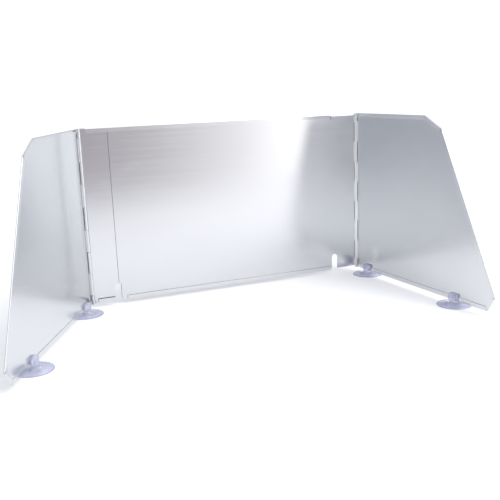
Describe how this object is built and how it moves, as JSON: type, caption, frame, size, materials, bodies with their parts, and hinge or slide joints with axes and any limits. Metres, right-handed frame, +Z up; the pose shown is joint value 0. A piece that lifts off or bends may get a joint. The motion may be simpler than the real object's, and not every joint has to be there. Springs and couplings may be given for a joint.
{
  "type": "folding sheet-metal shield",
  "caption": "Folding sheet-metal shield with a telescoping centre panel, hinged tapered wings and clear suction cup feet that hold it upright on a smooth surface.",
  "frame": {"origin": "middle of the footprint of the whole shield as it stands, on the surface it stands on", "axes": "+X along the centre panel to the right as seen from inside, +Y out through the back of the centre panel, +Z up; the shield opens towards -Y"},
  "size_m": [0.5946, 0.2945, 0.2463],
  "materials": {
    "satin_sheet": "satin, with a fine horizontal grain",
    "pin_steel": "drawn wire",
    "clear_vinyl": "clear soft PVC with a faint blue-violet tint"
  },
  "bodies": {
    "left_centre": {"left_centre_sheet": "satin_sheet"},
    "right_centre": {"right_centre_sheet": "satin_sheet"},
    "left_wing_panel": {"left_wing": "satin_sheet", "left_hinge_pin": "pin_steel", "left_rear_suction_cup": "clear_vinyl", "left_front_suction_cup": "clear_vinyl"},
    "right_wing_panel": {"right_wing": "satin_sheet", "right_hinge_pin": "pin_steel", "right_rear_suction_cup": "clear_vinyl", "right_front_suction_cup": "clear_vinyl"}
  },
  "joints": [
    {"name": "left_wing_fold", "type": "hinge", "parent": "left_centre", "child": "left_wing_panel", "pos_m": [-0.16347, 0.14282, 0], "axis": [0, 0, 1], "range_deg": [-123, 104]},
    {"name": "centre_slide", "type": "slide", "parent": "left_centre", "child": "right_centre", "axis": [1, 0, 0], "range_m": [0, 0.23]},
    {"name": "right_wing_fold", "type": "hinge", "parent": "right_centre", "child": "right_wing_panel", "pos_m": [0.25253, 0.14162, 0], "axis": [0, 0, -1], "range_deg": [-145, 64]}
  ]
}
